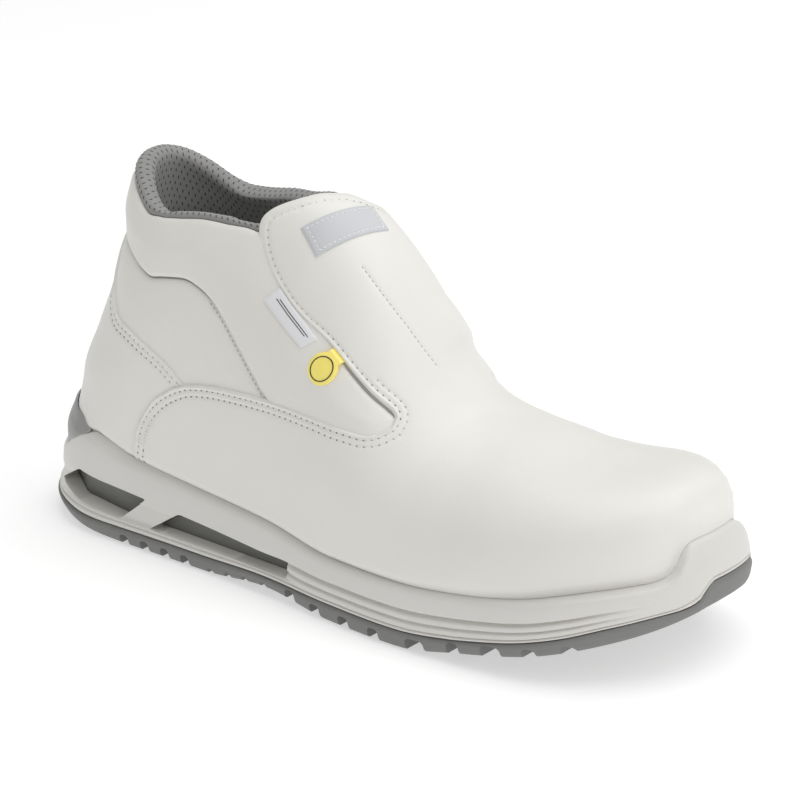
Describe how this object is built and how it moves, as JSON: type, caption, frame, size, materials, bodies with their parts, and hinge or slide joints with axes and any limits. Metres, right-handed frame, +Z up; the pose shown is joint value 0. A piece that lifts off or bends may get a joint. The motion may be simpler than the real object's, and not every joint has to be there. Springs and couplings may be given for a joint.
{
  "type": "hygiene safety boot",
  "caption": "White slip-on ankle work boot for the right foot, with a round safety toe, an instep flap, a padded collar and a lugged cup sole with heel windows.",
  "frame": {"origin": "on the floor under the middle of the boot's length and width", "axes": "+X from heel to toe, +Y to the inner (medial) side, +Z up from the floor"},
  "size_m": [0.302, 0.1099, 0.1485],
  "materials": {
    "grey_rubber": "matte moulded rubber",
    "white_foam": "satin moulded foam",
    "dark_grey_foam": "matte moulded foam",
    "grey_plastic": "satin moulded plastic",
    "grey_footbed": "matte felt on foam",
    "white_body": "matte microfibre",
    "white_microfibre": "satin microfibre with a fine grain",
    "white_soft_microfibre": "satin padded microfibre",
    "grey_mesh": "matte perforated mesh",
    "pale_grey_patch": "satin woven patch, bare",
    "white_ribbon": "satin ribbon, bare",
    "yellow_plastic": "thin soft plastic, bare"
  },
  "bodies": {
    "root": {"outsole": "grey_rubber", "midsole": "white_foam", "heel_insert_rear": "dark_grey_foam", "heel_insert_front": "dark_grey_foam", "heel_clip": "grey_plastic", "insole": "grey_footbed", "upper": "white_body", "vamp": "white_microfibre", "counter": "white_microfibre", "quarter_lateral": "white_soft_microfibre", "quarter_medial": "white_soft_microfibre", "collar_panel": "white_soft_microfibre", "collar_lining": "grey_mesh", "label_patch": "pale_grey_patch", "side_tab": "white_ribbon", "round_tag": "yellow_plastic"}
  },
  "joints": []
}
